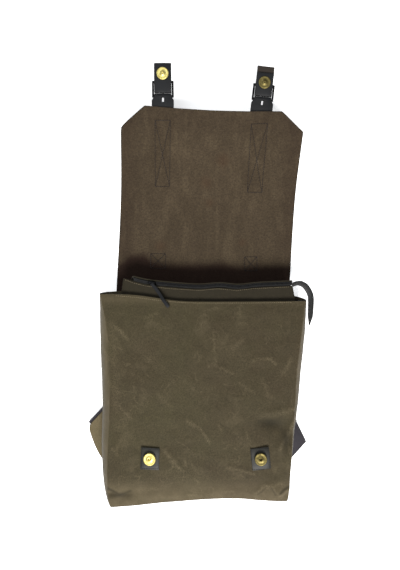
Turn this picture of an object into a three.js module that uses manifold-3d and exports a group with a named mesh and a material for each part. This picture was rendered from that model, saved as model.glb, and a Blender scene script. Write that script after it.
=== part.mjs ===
// A canvas backpack lying open on its back: hollow waxed canvas body, leather flap laid out above
// the mouth with its free end curling up, two buckled leather straps with magnetic snaps.
// Millimetres, +Z up; +Y runs from the bag's bottom to the flap's free end.
import * as THREE from 'three';
import { mergeVertices } from 'three/addons/utils/BufferGeometryUtils.js';
import Module from 'manifold-3d';

const wasm = await Module();
wasm.setup();

// Body
const PANEL_WIDTH = 270;         // front panel, seam to seam
const BODY_LENGTH = 312;         // back edge of the mouth to the bottom
const BODY_DEPTH = 70;           // back panel to front panel at the boxed bottom
const BODY_LIFT = 4.4;           // back panel above the surface, on the webbing
const CANVAS = 1.6;
const CORNER = 9;                // how far the back panel's edges stand in from the sides
const LINING = 1;
const LINING_DROP = 4;           // lining's edge below the canvas edge
const LINING_SLACK = 2.5;        // how far the lining hangs off the canvas inside
const CLEARANCE = 0.3;

// Flap and its straps
const FLAP_WIDTH = 275;
const FLAP_REACH = 263;          // back edge of the mouth to the free edge, along the surface
const FLAP_CURL = 52;            // height gained by the free end
const FLAP_LIFT = 1.9;           // sewn edge above the surface
const FLAP_LEAN = 0.056;         // sideways run for each unit of length
const FLAP_SKEW = 4.5;
const FLAP_SAG = 3;
const FLAP_THICKNESS = 2.2;
const FLAP_CUT = { across: 35, along: 29 };
const STRAP_SPACING = 147;
const STRAP_WIDTH = 33;
const STRAP_THICKNESS = 2;
const STRAP_SEWN = 118;          // length sewn to the flap
const STRAP_OUT = 18;            // free edge of the flap to the buckle's near bar
const SLOT = { width: 3.2, length: 7.5, before: 0.8 };
const BUCKLE_WIDTH = 32.5;
const BUCKLE_LENGTH = 24;
const BUCKLE_BAR = 3;
const TAB_WIDTH = 25.5;
const TAB_LENGTH = 37;
const OUTER_LENGTH = 39;

// Snaps
const SNAP_DIAMETER = 18;
const STUD_HEIGHT = 2.4;
const SOCKET_HEIGHT = 4;
const SNAP_HOLE = 4;
const SNAP_RIM = 0.6;
const PATCH = { width: 27, length: 31, thickness: 1.4 };
const SOCKET_SPACING = 160;

// Zip collar
const COLLAR_WIDTH = 256;
const COLLAR_TUCK = 14;          // collar's hidden lower edge, in from the front edge of the mouth
const COLLAR_FLARE = { left: -5, right: 7 };
const COLLAR_ROOT = 22;          // how far in from the mouth its back starts
const COLLAR_WALL = 1.4;
const COLLAR_HEIGHT = 43.6;
const ZIP_WIDTH = 5.5;
const ZIP_THICKNESS = 1.6;
const SLIDER = { across: -0.332, length: 11, width: 5, height: 4, turn: -10 };
const PULL = { width: 5, thickness: 3 };
const TAIL_WIDTH = 20;
const TAIL_THICKNESS = 1.5;

// Webbing and wings
const WEBBING_WIDTH = 38;
const WEBBING = 1.7;
const HANDLE_WIDTH = 22;
const HANDLE_THICKNESS = 2.9;
const WING_THICKNESS = 1.7;

// One row for each section of the body: along is a share of BODY_LENGTH, the widths are shares
// of PANEL_WIDTH from the middle, and rise is a share of BODY_DEPTH.
const BODY_SECTIONS = [
  { along: 0, leftSide: -0.588, leftSeam: -0.572, rightSeam: 0.566, rightSide: 0.584, rise: 0.66, dome: 0 },
  { along: 0.06, leftSide: -0.586, leftSeam: -0.557, rightSeam: 0.556, rightSide: 0.58, rise: 0.7, dome: 0.01 },
  { along: 0.15, leftSide: -0.584, leftSeam: -0.53, rightSeam: 0.54, rightSide: 0.576, rise: 0.76, dome: 0.03 },
  { along: 0.35, leftSide: -0.578, leftSeam: -0.507, rightSeam: 0.508, rightSide: 0.552, rise: 0.85, dome: 0.05 },
  { along: 0.55, leftSide: -0.568, leftSeam: -0.507, rightSeam: 0.493, rightSide: 0.53, rise: 0.92, dome: 0.06 },
  { along: 0.75, leftSide: -0.572, leftSeam: -0.515, rightSeam: 0.476, rightSide: 0.492, rise: 0.98, dome: 0.06 },
  { along: 0.88, leftSide: -0.564, leftSeam: -0.518, rightSeam: 0.466, rightSide: 0.474, rise: 1, dome: 0.05 },
  { along: 0.96, leftSide: -0.548, leftSeam: -0.512, rightSeam: 0.464, rightSide: 0.472, rise: 0.99, dome: 0.04 },
  { along: 1, leftSide: -0.528, leftSeam: -0.502, rightSeam: 0.455, rightSide: 0.466, rise: 0.93, dome: 0.06 },
];
const BODY_STATIONS = [0, 0.06, 0.14, 0.24, 0.34, 0.44, 0.54, 0.64, 0.74, 0.83, 0.9, 0.95, 0.98, 1];

// Front edge of the mouth and front edge of the bottom: across is a share of PANEL_WIDTH,
// down is a share of BODY_LENGTH.
const MOUTH_EDGE = [
  { across: -0.6, down: 0.042 }, { across: -0.38, down: 0.048 }, { across: -0.14, down: 0.077 },
  { across: 0.1, down: 0.081 }, { across: 0.6, down: 0.077 },
];
const BOTTOM_EDGE = [
  { across: -0.6, down: 1.045 }, { across: -0.49, down: 1.04 }, { across: -0.28, down: 1.02 },
  { across: 0, down: 1 }, { across: 0.2, down: 0.996 }, { across: 0.38, down: 1.01 }, { across: 0.5, down: 1.018 },
];
const BACK_EDGE = [
  { across: -0.6, down: 0.036 }, { across: -0.35, down: 0.026 }, { across: 0.35, down: 0.03 },
  { across: 0.6, down: 0.066 },
];
const LOW_DOWN = 1.012;          // lower edge of the bottom

// Dents and folds of the front panel: places and reaches are shares of PANEL_WIDTH and
// BODY_LENGTH, depth is a share of BODY_DEPTH, turn is in degrees; a negative depth is a ridge.
const DENTS = [
  { across: 0.4, along: 0.63, wide: 0.2, long: 0.045, turn: 20, depth: 0.07 },
  { across: 0.42, along: 0.74, wide: 0.14, long: 0.03, turn: 35, depth: -0.04 },
  { across: -0.42, along: 0.945, wide: 0.12, long: 0.035, turn: -10, depth: 0.08 },
  { across: 0.44, along: 0.9, wide: 0.05, long: 0.1, turn: 15, depth: 0.05 },
  { across: -0.2, along: 0.3, wide: 0.3, long: 0.05, turn: -12, depth: 0.025 },
  { across: 0.15, along: 0.42, wide: 0.25, long: 0.06, turn: 25, depth: 0.03 },
  { across: -0.38, along: 0.6, wide: 0.08, long: 0.2, turn: 8, depth: 0.03 },
  { across: 0.05, along: 0.97, wide: 0.3, long: 0.03, turn: 3, depth: 0.03 },
];

// Side view of the flap: reach is a share of FLAP_REACH, lift is a share of FLAP_CURL.
const FLAP_PROFILE = [
  { reach: -0.115, lift: 0 }, { reach: -0.03, lift: 0 }, { reach: 0.06, lift: 0.028 }, { reach: 0.2, lift: 0.032 },
  { reach: 0.33, lift: 0.05 }, { reach: 0.47, lift: 0.11 }, { reach: 0.6, lift: 0.25 }, { reach: 0.73, lift: 0.5 },
  { reach: 0.82, lift: 0.7 }, { reach: 0.88, lift: 0.83 }, { reach: 1, lift: 1 },
];

// Top edge of the collar: across is a share of COLLAR_WIDTH, up is its place in the bag's length.
const COLLAR_EDGE = [
  { across: -0.5, up: 10.5 }, { across: -0.44, up: 6 }, { across: -0.36, up: 1 }, { across: -0.22, up: -3 },
  { across: -0.04, up: -6 }, { across: 0.07, up: -3.5 }, { across: 0.18, up: -6.5 }, { across: 0.28, up: -3.5 },
  { across: 0.5, up: -1 },
];
const COLLAR_CENTRE = 7;
const ZIP_START = -0.44;         // left end of the zip and of the collar's back, share of COLLAR_WIDTH

// Middle line of the thong on the slider and of the zip's loose end: across and up are shares of
// COLLAR_WIDTH from its centre, rise is a share of COLLAR_HEIGHT.
const PULL_RUN = [
  { across: -0.305, up: -0.023, rise: 1.078 },
  { across: -0.277, up: -0.062, rise: 1.133 },
  { across: -0.256, up: -0.094, rise: 1.22 },
  { across: -0.229, up: -0.129, rise: 1.239 },
];
const TAIL_RUN = [
  { across: 0.506, up: 0.004, rise: 0.757 },
  { across: 0.543, up: 0.014, rise: 0.78 },
  { across: 0.576, up: 0.002, rise: 0.803 },
  { across: 0.6, up: -0.027, rise: 0.826 },
  { across: 0.616, up: -0.066, rise: 0.826 },
  { across: 0.619, up: -0.129, rise: 0.78 },
  { across: 0.619, up: -0.188, rise: 0.688 },
  { across: 0.617, up: -0.242, rise: 0.596 },
];

// Value of a column at a place in a table, as a smooth curve through its rows.
function follow(rows, key, column, at) {
  const last = rows.length - 1;
  let i = 0;
  while (i < last - 1 && at > rows[i + 1][key]) i += 1;
  const slope = (k) => {
    const before = rows[Math.max(k - 1, 0)];
    const after = rows[Math.min(k + 1, last)];
    return (after[column] - before[column]) / (after[key] - before[key]);
  };
  const span = rows[i + 1][key] - rows[i][key];
  const t = THREE.MathUtils.clamp((at - rows[i][key]) / span, 0, 1);
  const rise = rows[i + 1][column] - rows[i][column];
  const start = slope(i) * span;
  const end = slope(i + 1) * span;
  return rows[i][column] + t * (start + t * (3 * rise - 2 * start - end + t * (start + end - 2 * rise)));
}

const mix = THREE.MathUtils.lerp;
const vector = (x, y, z) => new THREE.Vector3(x, y, z);

// A closed geometry whose faces point out.
function facing(positions, index) {
  const at = (k) => vector(...positions.slice(3 * k, 3 * k + 3));
  let volume = 0;
  for (let k = 0; k < index.length; k += 3) {
    volume += at(index[k]).dot(at(index[k + 1]).cross(at(index[k + 2])));
  }
  if (volume < 0) index.reverse();
  const geometry = new THREE.BufferGeometry();
  geometry.setAttribute('position', new THREE.Float32BufferAttribute(positions, 3));
  geometry.setIndex(index);
  return geometry;
}

// A closed skin through rings of points. The first and the last ring are one point each.
function loft(rings) {
  const positions = [];
  const index = [];
  const starts = rings.map((ring) => {
    const start = positions.length / 3;
    ring.forEach((p) => positions.push(p.x, p.y, p.z));
    return start;
  });
  for (let r = 0; r + 1 < rings.length; r += 1) {
    const near = rings[r].length;
    const far = rings[r + 1].length;
    for (let i = 0; i < Math.max(near, far); i += 1) {
      const a = starts[r] + (i % near);
      const b = starts[r] + ((i + 1) % near);
      const c = starts[r + 1] + (i % far);
      const d = starts[r + 1] + ((i + 1) % far);
      if (far > 1) index.push(a, d, c);
      if (near > 1) index.push(a, b, d);
    }
  }
  return facing(positions, index);
}

function middle(ring) {
  const sum = ring.reduce((total, p) => total.add(p), vector(0, 0, 0));
  return [sum.divideScalar(ring.length)];
}

// A strip of cloth or leather: a row for each station, with its middle, its side and its normal.
function ribbon(stations, width, thickness) {
  const rings = stations.map(({ at, side, up, wide = width }) => [[-1, 0], [1, 0], [1, 1], [-1, 1]].map(
    ([across, above]) => at.clone().addScaledVector(side, across * wide / 2).addScaledVector(up, above * thickness),
  ));
  return loft([middle(rings[0]), ...rings, middle(rings[rings.length - 1])]);
}

// Stations of a strip along a path in a plane through +Z, that lies flat across the path.
function alongPath(path, side = vector(1, 0, 0)) {
  return path.map((at, i) => {
    const before = path[Math.max(i - 1, 0)];
    const after = path[Math.min(i + 1, path.length - 1)];
    const ahead = after.clone().sub(before).normalize();
    return { at, side, up: side.clone().cross(ahead).normalize() };
  });
}

// A curved sheet from a grid of points on its upper face, with the other face below it.
function sheet(grid, thickness, towards = vector(0, 0, 1)) {
  const rows = grid.length;
  const columns = grid[0].length;
  const low = grid.map((row, r) => row.map((point, c) => {
    const along = grid[Math.min(r + 1, rows - 1)][c].clone().sub(grid[Math.max(r - 1, 0)][c]);
    const across = grid[r][Math.min(c + 1, columns - 1)].clone().sub(grid[r][Math.max(c - 1, 0)]);
    const normal = across.cross(along).normalize();
    if (normal.dot(towards) < 0) normal.negate();
    return point.clone().addScaledVector(normal, -thickness);
  }));
  const positions = [];
  [grid, low].forEach((face) => face.flat().forEach((p) => positions.push(p.x, p.y, p.z)));
  const top = (r, c) => r * columns + c;
  const under = (r, c) => (rows + r) * columns + c;
  const index = [];
  const wall = (a, b, c, d) => index.push(a, b, c, a, c, d);
  for (let r = 0; r + 1 < rows; r += 1) {
    for (let c = 0; c + 1 < columns; c += 1) {
      wall(top(r, c), top(r, c + 1), top(r + 1, c + 1), top(r + 1, c));
      wall(under(r, c), under(r + 1, c), under(r + 1, c + 1), under(r, c + 1));
    }
    wall(top(r, 0), top(r + 1, 0), under(r + 1, 0), under(r, 0));
    wall(top(r, columns - 1), under(r, columns - 1), under(r + 1, columns - 1), top(r + 1, columns - 1));
  }
  for (let c = 0; c + 1 < columns; c += 1) {
    wall(top(0, c), under(0, c), under(0, c + 1), top(0, c + 1));
    wall(top(rows - 1, c), top(rows - 1, c + 1), under(rows - 1, c + 1), under(rows - 1, c));
  }
  return facing(positions, index);
}

// A flat plate from an outline, lifted from z = 0.
function plate(outline, thickness) {
  const shape = new THREE.Shape(outline.map(([x, y]) => new THREE.Vector2(x, y)));
  return new THREE.ExtrudeGeometry(shape, { depth: thickness, bevelEnabled: false });
}

function box(width, length, height) {
  return new THREE.BoxGeometry(width, length, height);
}

// Joined and cut solids
function solid(geometry) {
  const bare = geometry.clone();
  bare.deleteAttribute('normal');
  bare.deleteAttribute('uv');
  const merged = mergeVertices(bare, 1e-4);
  return new wasm.Manifold(new wasm.Mesh({
    numProp: 3,
    vertProperties: new Float32Array(merged.attributes.position.array),
    triVerts: new Uint32Array(merged.index.array),
  }));
}

function geometryOf(body) {
  const mesh = body.getMesh();
  const geometry = new THREE.BufferGeometry();
  geometry.setAttribute('position', new THREE.Float32BufferAttribute(mesh.vertProperties, 3));
  geometry.setIndex(new THREE.Uint32BufferAttribute(mesh.triVerts, 1));
  return geometry;
}

const FINISH = {
  canvas: new THREE.MeshStandardMaterial({ color: 0x5f5846, roughness: 0.8, metalness: 0 }),
  lining: new THREE.MeshStandardMaterial({ color: 0x141414, roughness: 0.9, metalness: 0 }),
  suede: new THREE.MeshStandardMaterial({ color: 0x554b3c, roughness: 0.95, metalness: 0 }),
  leather: new THREE.MeshStandardMaterial({ color: 0x25252a, roughness: 0.5, metalness: 0 }),
  webbing: new THREE.MeshStandardMaterial({ color: 0x3a383c, roughness: 0.85, metalness: 0 }),
  brass: new THREE.MeshStandardMaterial({ color: 0xd8c878, roughness: 0.3, metalness: 1 }),
  black_metal: new THREE.MeshStandardMaterial({ color: 0x1c1c1e, roughness: 0.35, metalness: 1 }),
};

function piece(name, geometry, finish) {
  const mesh = new THREE.Mesh(geometry, FINISH[finish]);
  mesh.name = name;
  return mesh;
}

// Body
function frontEdge(across) {
  return -BODY_LENGTH * follow(MOUTH_EDGE, 'across', 'down', across / PANEL_WIDTH);
}

function backEdge(across) {
  return -BODY_LENGTH * follow(BACK_EDGE, 'across', 'down', across / PANEL_WIDTH);
}

function bottomEdge(across) {
  return -BODY_LENGTH * follow(BOTTOM_EDGE, 'across', 'down', across / PANEL_WIDTH);
}

function section(along) {
  const width = (column) => PANEL_WIDTH * follow(BODY_SECTIONS, 'along', column, along);
  return {
    leftSide: width('leftSide'), leftSeam: width('leftSeam'), rightSeam: width('rightSeam'),
    rightSide: width('rightSide'),
    rise: BODY_LIFT + BODY_DEPTH * follow(BODY_SECTIONS, 'along', 'rise', along),
    dome: BODY_DEPTH * follow(BODY_SECTIONS, 'along', 'dome', along),
  };
}

function dented(across, along) {
  return DENTS.reduce((sum, dent) => {
    const turn = THREE.MathUtils.degToRad(dent.turn);
    const x = across - dent.across * PANEL_WIDTH;
    const y = (along - dent.along) * BODY_LENGTH;
    const u = (x * Math.cos(turn) - y * Math.sin(turn)) / (dent.wide * PANEL_WIDTH);
    const v = (x * Math.sin(turn) + y * Math.cos(turn)) / (dent.long * BODY_LENGTH);
    return sum + dent.depth * BODY_DEPTH * Math.exp(-u * u - v * v);
  }, 0);
}

function frontHeight(across, along) {
  const at = section(along);
  const t = THREE.MathUtils.clamp((across - at.leftSeam) / (at.rightSeam - at.leftSeam), 0, 1) * 2 - 1;
  return at.rise + at.dome * (1 - t * t) - dented(across, along);
}

const BACK_STEPS = 8;
const SIDE_STEPS = 6;
const FRONT_STEPS = 22;

// Outline of the body across its length, in X and Z, once round.
function outline(along) {
  const at = section(along);
  const points = [];
  const back = { left: at.leftSide + CORNER, right: at.rightSide - CORNER };
  for (let i = 0; i < BACK_STEPS; i += 1) {
    points.push([mix(back.left, back.right, i / BACK_STEPS), BODY_LIFT]);
  }
  const side = (corner, wall, seam) => {
    const height = frontHeight(seam, along) - BODY_LIFT;
    const bow = wall + 0.2 * (wall - seam) + 0.22 * (wall - corner);
    return new THREE.CubicBezierCurve(
      new THREE.Vector2(corner, BODY_LIFT), new THREE.Vector2(bow, BODY_LIFT),
      new THREE.Vector2(bow, BODY_LIFT + 0.8 * height), new THREE.Vector2(seam, BODY_LIFT + height),
    );
  };
  const right = side(back.right, at.rightSide, at.rightSeam);
  const left = side(back.left, at.leftSide, at.leftSeam);
  for (let i = 0; i < SIDE_STEPS; i += 1) {
    points.push(right.getPoint(i / SIDE_STEPS).toArray());
  }
  for (let i = 0; i < FRONT_STEPS; i += 1) {
    const x = mix(at.rightSeam, at.leftSeam, i / FRONT_STEPS);
    points.push([x, frontHeight(x, along)]);
  }
  for (let i = 0; i < SIDE_STEPS; i += 1) {
    points.push(left.getPoint(1 - i / SIDE_STEPS).toArray());
  }
  return points;
}

// The outline moved inwards, once round.
function inset(points, amount) {
  return points.map(([x, z], i) => {
    const [ax, az] = points[(i + points.length - 1) % points.length];
    const [bx, bz] = points[(i + 1) % points.length];
    const length = Math.hypot(bx - ax, bz - az);
    return [x - amount * (bz - az) / length, z + amount * (bx - ax) / length];
  });
}

// Rings of one skin of the body, mouth first, then shrinking to the middle of the bottom.
function skin(amount, drop, slack = 0) {
  const ring = (along, scale, bulge) => {
    const deep = amount + slack * THREE.MathUtils.smoothstep(along, 0, 0.15);
    const at = section(along);
    const height = at.rise - BODY_LIFT;
    const centre = [(at.leftSide + at.rightSide) / 2, BODY_LIFT + height / 2];
    return inset(outline(along), deep).map(([x, z]) => {
      const lift = THREE.MathUtils.clamp((z - BODY_LIFT) / height, 0, 1);
      const start = mix(backEdge(x), frontEdge(x), lift) - drop;
      const end = mix(-BODY_LENGTH * LOW_DOWN, bottomEdge(x), lift) + deep;
      return vector(mix(centre[0], x, scale), mix(start, end, along) - bulge, mix(centre[1], z, scale));
    });
  };
  const rings = BODY_STATIONS.map((along) => ring(along, 1, 0));
  rings.push(ring(1, 0.85, 1.2), ring(1, 0.45, 2));
  rings.push(middle(rings[rings.length - 1]));
  return rings;
}

function cup(outer, inner) {
  return loft([...outer.reverse(), ...inner]);
}

function bodyPieces() {
  const liner = CANVAS + 2 * CLEARANCE;
  return [
    piece('body_shell', cup(skin(0, 0), skin(CANVAS, 0)), 'canvas'),
    piece('lining', cup(
      skin(liner, LINING_DROP, LINING_SLACK), skin(liner + LINING, LINING_DROP, LINING_SLACK),
    ), 'lining'),
  ];
}

// Zip collar
const EDGE_STEPS = 20;

function collarEdge(across) {
  return follow(COLLAR_EDGE, 'across', 'up', across);
}

function collarAt(share) {
  return COLLAR_CENTRE + COLLAR_WIDTH * share;
}

function collarPoint({ across, up, rise }) {
  return vector(collarAt(across), COLLAR_WIDTH * up, COLLAR_HEIGHT * rise);
}

// A grid of points: one row for each step down, one column for each step across.
function grid(rows, columns, pointAt) {
  return Array.from({ length: rows + 1 }, (_row, r) => (
    Array.from({ length: columns + 1 }, (_column, c) => pointAt(r / rows, c / columns))
  ));
}

function collarFront() {
  const waves = 4.5;
  const ruffle = 0.5;
  return grid(3, EDGE_STEPS, (down, along) => {
    const share = along - 0.5;
    const x = collarAt(share) + down * mix(COLLAR_FLARE.left, COLLAR_FLARE.right, along);
    const wave = ruffle * Math.sin(2 * waves * share * Math.PI) * Math.sin(down * Math.PI);
    return vector(x, mix(collarEdge(share), frontEdge(x) - COLLAR_TUCK, down), COLLAR_HEIGHT + wave);
  });
}

// The back of the collar comes up from the lining of the back panel.
function collarBack() {
  const root = { y: backEdge(0) - COLLAR_ROOT, z: BODY_LIFT + CANVAS + 4 * LINING };
  return grid(4, EDGE_STEPS, (down, along) => {
    const share = mix(mix(ZIP_START, -0.5, down), 0.5, along);
    const top = collarEdge(share) + ZIP_WIDTH + 5 * CLEARANCE + COLLAR_WALL;
    return vector(collarAt(share), mix(top, root.y, down * down), mix(COLLAR_HEIGHT - 0.5, root.z, down));
  });
}

// A flat strip of the zip: from and to are shares of COLLAR_WIDTH, gap is measured from the
// collar's top edge.
function zipStrip(name, from, to, gap, width) {
  const strip = grid(1, EDGE_STEPS, (side, along) => {
    const share = mix(from, to, along);
    return vector(collarAt(share), collarEdge(share) + gap + side * width, COLLAR_HEIGHT - CLEARANCE * 2);
  });
  return piece(name, sheet(strip, ZIP_THICKNESS), 'lining');
}

function zipPieces() {
  const slide = SLIDER.across;
  const sliderX = collarAt(slide);
  const margin = (SLIDER.length / 2 + 3 * CLEARANCE) / COLLAR_WIDTH;
  const half = (ZIP_WIDTH - 3 * CLEARANCE) / 2;
  const sliderAt = collarEdge(slide) + ZIP_WIDTH / 2 + CLEARANCE;
  const slider = piece('zip_slider', box(SLIDER.length, SLIDER.width, SLIDER.height), 'black_metal');
  slider.position.set(sliderX, sliderAt, COLLAR_HEIGHT - 2 * CLEARANCE);
  slider.rotation.z = THREE.MathUtils.degToRad(SLIDER.turn);
  const pullPath = new THREE.CatmullRomCurve3([
    vector(sliderX, sliderAt - 1, COLLAR_HEIGHT + 2), ...PULL_RUN.map(collarPoint),
  ]).getPoints(10);
  const across = pullPath[10].clone().sub(pullPath[0]).setZ(0).normalize().cross(vector(0, 0, 1));
  return [
    zipStrip('zip_chain', slide + margin, 0.5, 2 * CLEARANCE, ZIP_WIDTH),
    zipStrip('zip_tape_front', ZIP_START, slide - margin, CLEARANCE, half),
    zipStrip('zip_tape_back', ZIP_START, slide - margin, half + 2 * CLEARANCE, half),
    slider,
    piece('zip_pull', ribbon(alongPath(pullPath, across), PULL.width, PULL.thickness), 'leather'),
  ];
}

// The loose end of the zip stands on edge: it turns past the collar's corner and hangs by the side.
function zipTail() {
  const steps = 22;
  const path = new THREE.CatmullRomCurve3(TAIL_RUN.map(collarPoint)).getPoints(steps);
  const stations = path.map((at, i) => {
    const before = path[Math.max(i - 1, 0)];
    const after = path[Math.min(i + 1, steps)];
    const out = after.clone().sub(before).setZ(0).normalize().cross(vector(0, 0, 1));
    const lean = mix(0.35, 0.1, i / steps);
    const side = vector(0, 0, 1).addScaledVector(out, -lean).normalize();
    const up = out.clone().addScaledVector(vector(0, 0, 1), lean).normalize();
    const taper = THREE.MathUtils.smoothstep(i / steps, 0.84, 1);
    return { at, side, up, wide: mix(TAIL_WIDTH, TAIL_WIDTH / 5, taper) };
  });
  return piece('zip_tail', ribbon(stations, TAIL_WIDTH, TAIL_THICKNESS), 'lining');
}

function collarPieces() {
  return [
    piece('front_extension', sheet(collarFront(), COLLAR_WALL), 'canvas'),
    piece('back_extension', sheet(collarBack(), COLLAR_WALL, vector(0, 1, 0)), 'canvas'),
    ...zipPieces(),
    zipTail(),
  ];
}

// Flap
// Point of the flap's lower face; across runs from -1 to 1. The free edge sags in its middle
// and is skewed.
function flapPoint(reach, across) {
  const skew = -FLAP_SKEW * across * THREE.MathUtils.smoothstep(reach, 0.5 * FLAP_REACH, FLAP_REACH);
  const dip = FLAP_SAG * (1 - across * across);
  const sag = dip * THREE.MathUtils.smoothstep(reach, 0.7 * FLAP_REACH, FLAP_REACH);
  return {
    y: reach - sag + skew,
    z: FLAP_LIFT + FLAP_CURL * follow(FLAP_PROFILE, 'reach', 'lift', reach / FLAP_REACH),
  };
}

function flapSlope(reach) {
  return (flapPoint(reach + 1, 0).z - flapPoint(reach - 1, 0).z) / 2;
}

const FLAP_HEM = 0.115;          // flap's sewn edge behind the mouth, share of FLAP_REACH
const FLAP_ROWS = { whole: 20, cut: 4, across: 14 };

function flapPiece() {
  const cutStart = FLAP_REACH - FLAP_CUT.along;
  const reaches = [];
  for (let r = 0; r < FLAP_ROWS.whole; r += 1) {
    reaches.push(mix(-FLAP_HEM * FLAP_REACH, cutStart, r / FLAP_ROWS.whole));
  }
  for (let r = 0; r <= FLAP_ROWS.cut; r += 1) {
    reaches.push(mix(cutStart, FLAP_REACH, r / FLAP_ROWS.cut));
  }
  const rows = reaches.map((reach) => {
    const cut = Math.max(0, (reach - cutStart) / FLAP_CUT.along) * FLAP_CUT.across;
    return Array.from({ length: FLAP_ROWS.across + 1 }, (_column, c) => {
      const share = 2 * c / FLAP_ROWS.across - 1;
      const { y, z } = flapPoint(reach, share);
      return vector(FLAP_LEAN * reach + share * (FLAP_WIDTH / 2 - cut), y, z + FLAP_THICKNESS);
    });
  });
  return piece('flap', sheet(rows, FLAP_THICKNESS), 'suede');
}

// Snap: a brass disc on +Z with a raised rim and either a nub or a hole in its middle.
function snap(height, hollow) {
  const r = SNAP_DIAMETER / 2;
  const hole = SNAP_HOLE / 2;
  const rim = SNAP_RIM;
  const profile = hollow
    ? [[0, 0], [r, 0], [r, height - rim], [r - rim, height], [hole + rim, height], [hole, height - rim / 2],
      [hole, rim], [0, rim]]
    : [[0, 0], [r, 0], [r, height - 2 * rim], [r - rim, height - rim], [hole + 2 * rim, height - rim],
      [hole, height - rim / 2], [hole, height], [0, height]];
  const geometry = new THREE.LatheGeometry(profile.map(([x, y]) => new THREE.Vector2(x, y)), 18);
  return geometry.rotateX(Math.PI / 2);
}

// The two straps: heading turns the part beyond the flap, trim is what the tab is shorter by.
const STRAPS = [
  { name: 'left', side: -1, heading: 0, trim: 0 },
  { name: 'right', side: 1, heading: -6, trim: 8 },
];
const STRAP_SHIFT = -1.7;
const EDGE_MARGIN = 4;           // last stretch of the flap, whose slope the straps keep
const CHAPE_STEPS = 9;

// Side view of the chape beyond the flap, and of the two layers past the buckle: along is
// measured from the flap's edge, from the near bar or from the far bar, and rise from the bar.
const CHAPE_RUN = [4, 12, STRAP_OUT];
const CHAPE_BACK = [
  { along: 10, sink: 0.8 }, { along: 2, sink: 0.9 }, { along: -14, sink: 1.5 },
];
const OUTER_RUN = { start: -2.6, near: -2.9, end: -1.4 };
const TAB_RUN = { near: 1, end: 1.6 };
const BAR_MARGIN = 4;            // how far a layer lies flat on each side of the far bar
const PRONG = { width: 2.4, thickness: 2.2, start: -4.2, bend: -3.4, tip: -2.7 };
const SNAP_INSET = 14;           // snap's middle to the tab's end

// Places beyond the flap's free edge: x across the strap, y along it, z up from its upper face.
function strapFrame({ side, heading }) {
  const across = (reach) => STRAP_SHIFT + side * STRAP_SPACING / 2 + FLAP_LEAN * reach;
  const under = 2 * CLEARANCE + STRAP_THICKNESS;
  const path = Array.from({ length: CHAPE_STEPS + 1 }, (_point, i) => {
    const reach = FLAP_REACH - STRAP_SEWN * (1 - i / CHAPE_STEPS);
    const p = flapPoint(reach, side * STRAP_SPACING / FLAP_WIDTH);
    const tilt = Math.atan(flapSlope(Math.min(reach, FLAP_REACH - EDGE_MARGIN)));
    return vector(across(reach), p.y + under * Math.sin(tilt), p.z - under * Math.cos(tilt));
  });
  const tilt = Math.atan(flapSlope(FLAP_REACH - EDGE_MARGIN)) / 2;
  const turn = THREE.MathUtils.degToRad(heading);
  const level = Math.cos(tilt);
  const ahead = vector(-Math.sin(turn) * level, Math.cos(turn) * level, Math.sin(tilt));
  const right = vector(Math.cos(turn), Math.sin(turn), 0);
  const up = right.clone().cross(ahead).normalize();
  const origin = path[CHAPE_STEPS].clone().addScaledVector(up, STRAP_THICKNESS);
  const place = (x, y, z) => (
    origin.clone().addScaledVector(right, x).addScaledVector(ahead, y).addScaledVector(up, z)
  );
  const placing = new THREE.Matrix4().makeBasis(right, ahead, up);
  const strip = (rows, width, thickness) => ribbon(
    rows.map(([y, z]) => ({ at: place(0, y, z), side: right, up })), width, thickness,
  );
  return { path, tilt, right, ahead, up, place, placing, strip };
}

const BAR_RADIUS = BUCKLE_BAR / Math.SQRT2 + CLEARANCE;
const BAR_Z = -STRAP_THICKNESS - BAR_RADIUS;

// The strap that is sewn to the flap: it goes round the near bar and back underneath.
function chape({ path, tilt, right, ahead, up, place, placing }) {
  const stations = alongPath(path).slice(0, -1);
  CHAPE_RUN.forEach((y) => stations.push({
    at: place(0, y, -STRAP_THICKNESS), side: right, up, wide: y < STRAP_OUT ? STRAP_WIDTH : TAB_WIDTH,
  }));
  [45, 90, 135, 180].forEach((angle) => {
    const a = THREE.MathUtils.degToRad(angle);
    const out = up.clone().multiplyScalar(Math.cos(a)).addScaledVector(ahead, Math.sin(a));
    const at = place(0, STRAP_OUT, BAR_Z).addScaledVector(out, BAR_RADIUS);
    stations.push({ at, side: right, up: out, wide: TAB_WIDTH });
  });
  const down = up.clone().negate();
  CHAPE_BACK.forEach((row, i) => {
    const lean = Math.max(0, -row.along) * Math.sin(tilt) / 3.5;
    const z = i === 0 ? BAR_Z - BAR_RADIUS + row.sink : -STRAP_THICKNESS - row.sink - lean;
    stations.push({ at: place(0, row.along, z), side: right, up: down, wide: TAB_WIDTH });
  });
  const slot = box(SLOT.width, SLOT.length, 10 * STRAP_THICKNESS);
  const slotAt = place(0, STRAP_OUT - SLOT.before - SLOT.length / 2, -1.5 * STRAP_THICKNESS);
  slot.applyMatrix4(placing.clone().setPosition(slotAt));
  return geometryOf(solid(ribbon(stations, STRAP_WIDTH, STRAP_THICKNESS)).subtract(solid(slot)));
}

function rectangle(halfWidth, low, high) {
  return [[-halfWidth, low], [halfWidth, low], [halfWidth, high], [-halfWidth, high]]
    .map(([x, y]) => new THREE.Vector2(x, y));
}

function buckleFrame({ place, placing }) {
  const edge = BUCKLE_BAR / 2;
  const shape = new THREE.Shape(rectangle(BUCKLE_WIDTH / 2, -edge, BUCKLE_LENGTH - edge));
  shape.holes.push(new THREE.Path(
    rectangle(BUCKLE_WIDTH / 2 - BUCKLE_BAR, edge, BUCKLE_LENGTH - 3 * edge),
  ));
  const frame = new THREE.ExtrudeGeometry(shape, { depth: BUCKLE_BAR, bevelEnabled: false });
  return frame.translate(0, 0, -edge).applyMatrix4(placing.clone().setPosition(place(0, STRAP_OUT, BAR_Z)));
}

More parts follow.
